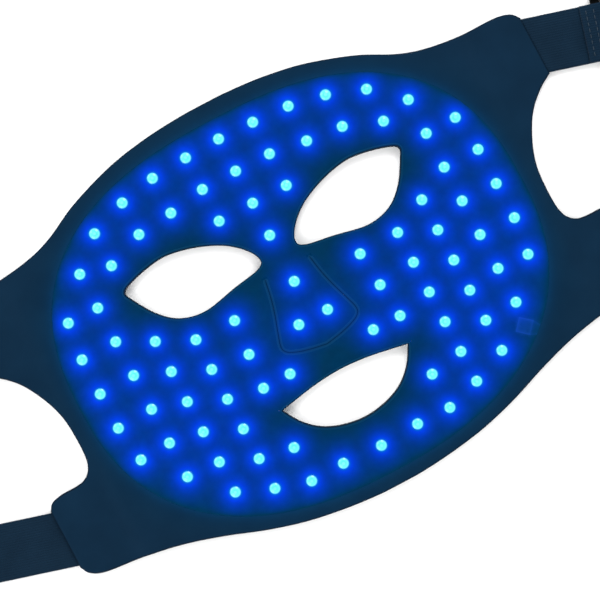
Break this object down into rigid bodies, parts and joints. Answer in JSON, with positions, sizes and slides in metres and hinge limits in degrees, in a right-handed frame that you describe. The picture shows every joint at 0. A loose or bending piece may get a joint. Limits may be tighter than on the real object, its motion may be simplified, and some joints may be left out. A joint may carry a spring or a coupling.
{
  "type": "led face mask",
  "caption": "Flexible silicone face mask with blue lamps on its inner side, eye and mouth openings, a nose flap and elastic head straps that close at the back.",
  "frame": {"origin": "centre of the object's footprint, on the outer face that it lies on", "axes": "+X across the face, to the right as the lit side is seen with the forehead up, +Y to the forehead, +Z out of the lit inner side"},
  "size_m": [0.584, 0.1932, 0.0059],
  "materials": {
    "cover_silicone": "matte moulded silicone, dark navy under blue light",
    "lit_silicone": "translucent silicone lit from inside",
    "circuit_board": "white solder mask on flexible film",
    "lamp_package": "lit lamp package",
    "resistor": "matte with tinned ends",
    "reflector_film": "matte white film",
    "lens": "clear lens, lit cyan from below",
    "gland_plastic": "moulded, fine texture",
    "block_plastic": "moulded",
    "strap_elastic": "woven elastic, ribbed",
    "slider_plastic": "moulded, satin",
    "hook_tape": "hook tape",
    "loop_tape": "loop pile"
  },
  "bodies": {
    "face_panel": {"cover_centre": "cover_silicone", "liner_centre": "lit_silicone", "board_centre": "circuit_board", "chips_centre": "lamp_package", "resistors_centre": "resistor", "film_centre": "reflector_film", "lenses_centre": "lens"},
    "nose_flap": {"cover_nose": "cover_silicone", "liner_nose": "lit_silicone", "board_nose": "circuit_board", "chips_nose": "lamp_package", "film_nose": "reflector_film", "lenses_nose": "lens"},
    "left_side": {"cover_left": "cover_silicone", "liner_left": "lit_silicone", "board_left": "circuit_board", "chips_left": "lamp_package", "resistors_left": "resistor", "film_left": "reflector_film", "lenses_left": "lens"},
    "right_side": {"cover_right": "cover_silicone", "liner_right": "lit_silicone", "board_right": "circuit_board", "chips_right": "lamp_package", "resistors_right": "resistor", "film_right": "reflector_film", "lenses_right": "lens", "cord_gland": "gland_plastic", "terminal_block": "block_plastic"},
    "left_wing": {"left_wing": "cover_silicone", "left_strap_ends": "strap_elastic"},
    "right_wing": {"right_wing": "cover_silicone", "right_strap_ends": "strap_elastic"},
    "left_straps": {"left_upper_strap": "strap_elastic", "left_lower_strap": "strap_elastic"},
    "right_straps": {"right_upper_strap": "strap_elastic", "right_lower_strap": "strap_elastic", "right_upper_return": "strap_elastic", "right_lower_return": "strap_elastic"},
    "upper_slider": {"upper_slider": "slider_plastic"},
    "lower_slider": {"lower_slider": "slider_plastic"},
    "left_closure": {"left_upper_back_strap": "strap_elastic", "left_lower_back_strap": "strap_elastic", "left_closure_tab": "strap_elastic", "hook_pad": "hook_tape"},
    "right_closure": {"right_upper_back_strap": "strap_elastic", "right_lower_back_strap": "strap_elastic", "right_closure_tab": "strap_elastic", "loop_pad": "loop_tape"}
  },
  "joints": [
    {"name": "nose_flap_flex", "type": "hinge", "parent": "face_panel", "child": "nose_flap", "pos_m": [0, 0.0135, 0.005], "axis": [-1, 0, 0], "range_deg": [0, 35], "stiffness_Nm_per_rad": 0.01},
    {"name": "left_side_fold", "type": "hinge", "parent": "face_panel", "child": "left_side", "pos_m": [-0.0756, 0, 0.005], "axis": [0, 1, 0], "range_deg": [0, 50], "stiffness_Nm_per_rad": 0.08},
    {"name": "left_ear_fold", "type": "hinge", "parent": "left_side", "child": "left_wing", "pos_m": [-0.1165, 0, 0.005], "axis": [0, 1, 0], "range_deg": [0, 35], "stiffness_Nm_per_rad": 0.03},
    {"name": "left_strap_fold", "type": "hinge", "parent": "left_wing", "child": "left_straps", "pos_m": [-0.146, 0, 0.004], "axis": [0, 1, 0], "range_deg": [0, 30]},
    {"name": "left_back_fold", "type": "hinge", "parent": "left_straps", "child": "left_closure", "pos_m": [-0.215, 0, 0.0021], "axis": [0, 1, 0], "range_deg": [0, 45]},
    {"name": "right_side_fold", "type": "hinge", "parent": "face_panel", "child": "right_side", "pos_m": [0.0756, 0, 0.005], "axis": [0, -1, 0], "range_deg": [0, 50], "stiffness_Nm_per_rad": 0.08},
    {"name": "right_ear_fold", "type": "hinge", "parent": "right_side", "child": "right_wing", "pos_m": [0.1165, 0, 0.005], "axis": [0, -1, 0], "range_deg": [0, 35], "stiffness_Nm_per_rad": 0.03},
    {"name": "right_strap_fold", "type": "hinge", "parent": "right_wing", "child": "right_straps", "pos_m": [0.146, 0, 0.004], "axis": [0, -1, 0], "range_deg": [0, 30]},
    {"name": "right_back_fold", "type": "hinge", "parent": "right_straps", "child": "right_closure", "pos_m": [0.215, 0, 0.0021], "axis": [0, -1, 0], "range_deg": [0, 45]},
    {"name": "upper_slider_travel", "type": "slide", "parent": "right_straps", "child": "upper_slider", "axis": [0.9613, -0.2756, 0], "range_m": [-0.01, 0.01]},
    {"name": "lower_slider_travel", "type": "slide", "parent": "right_straps", "child": "lower_slider", "axis": [0.9613, 0.2756, 0], "range_m": [-0.01, 0.01]}
  ]
}
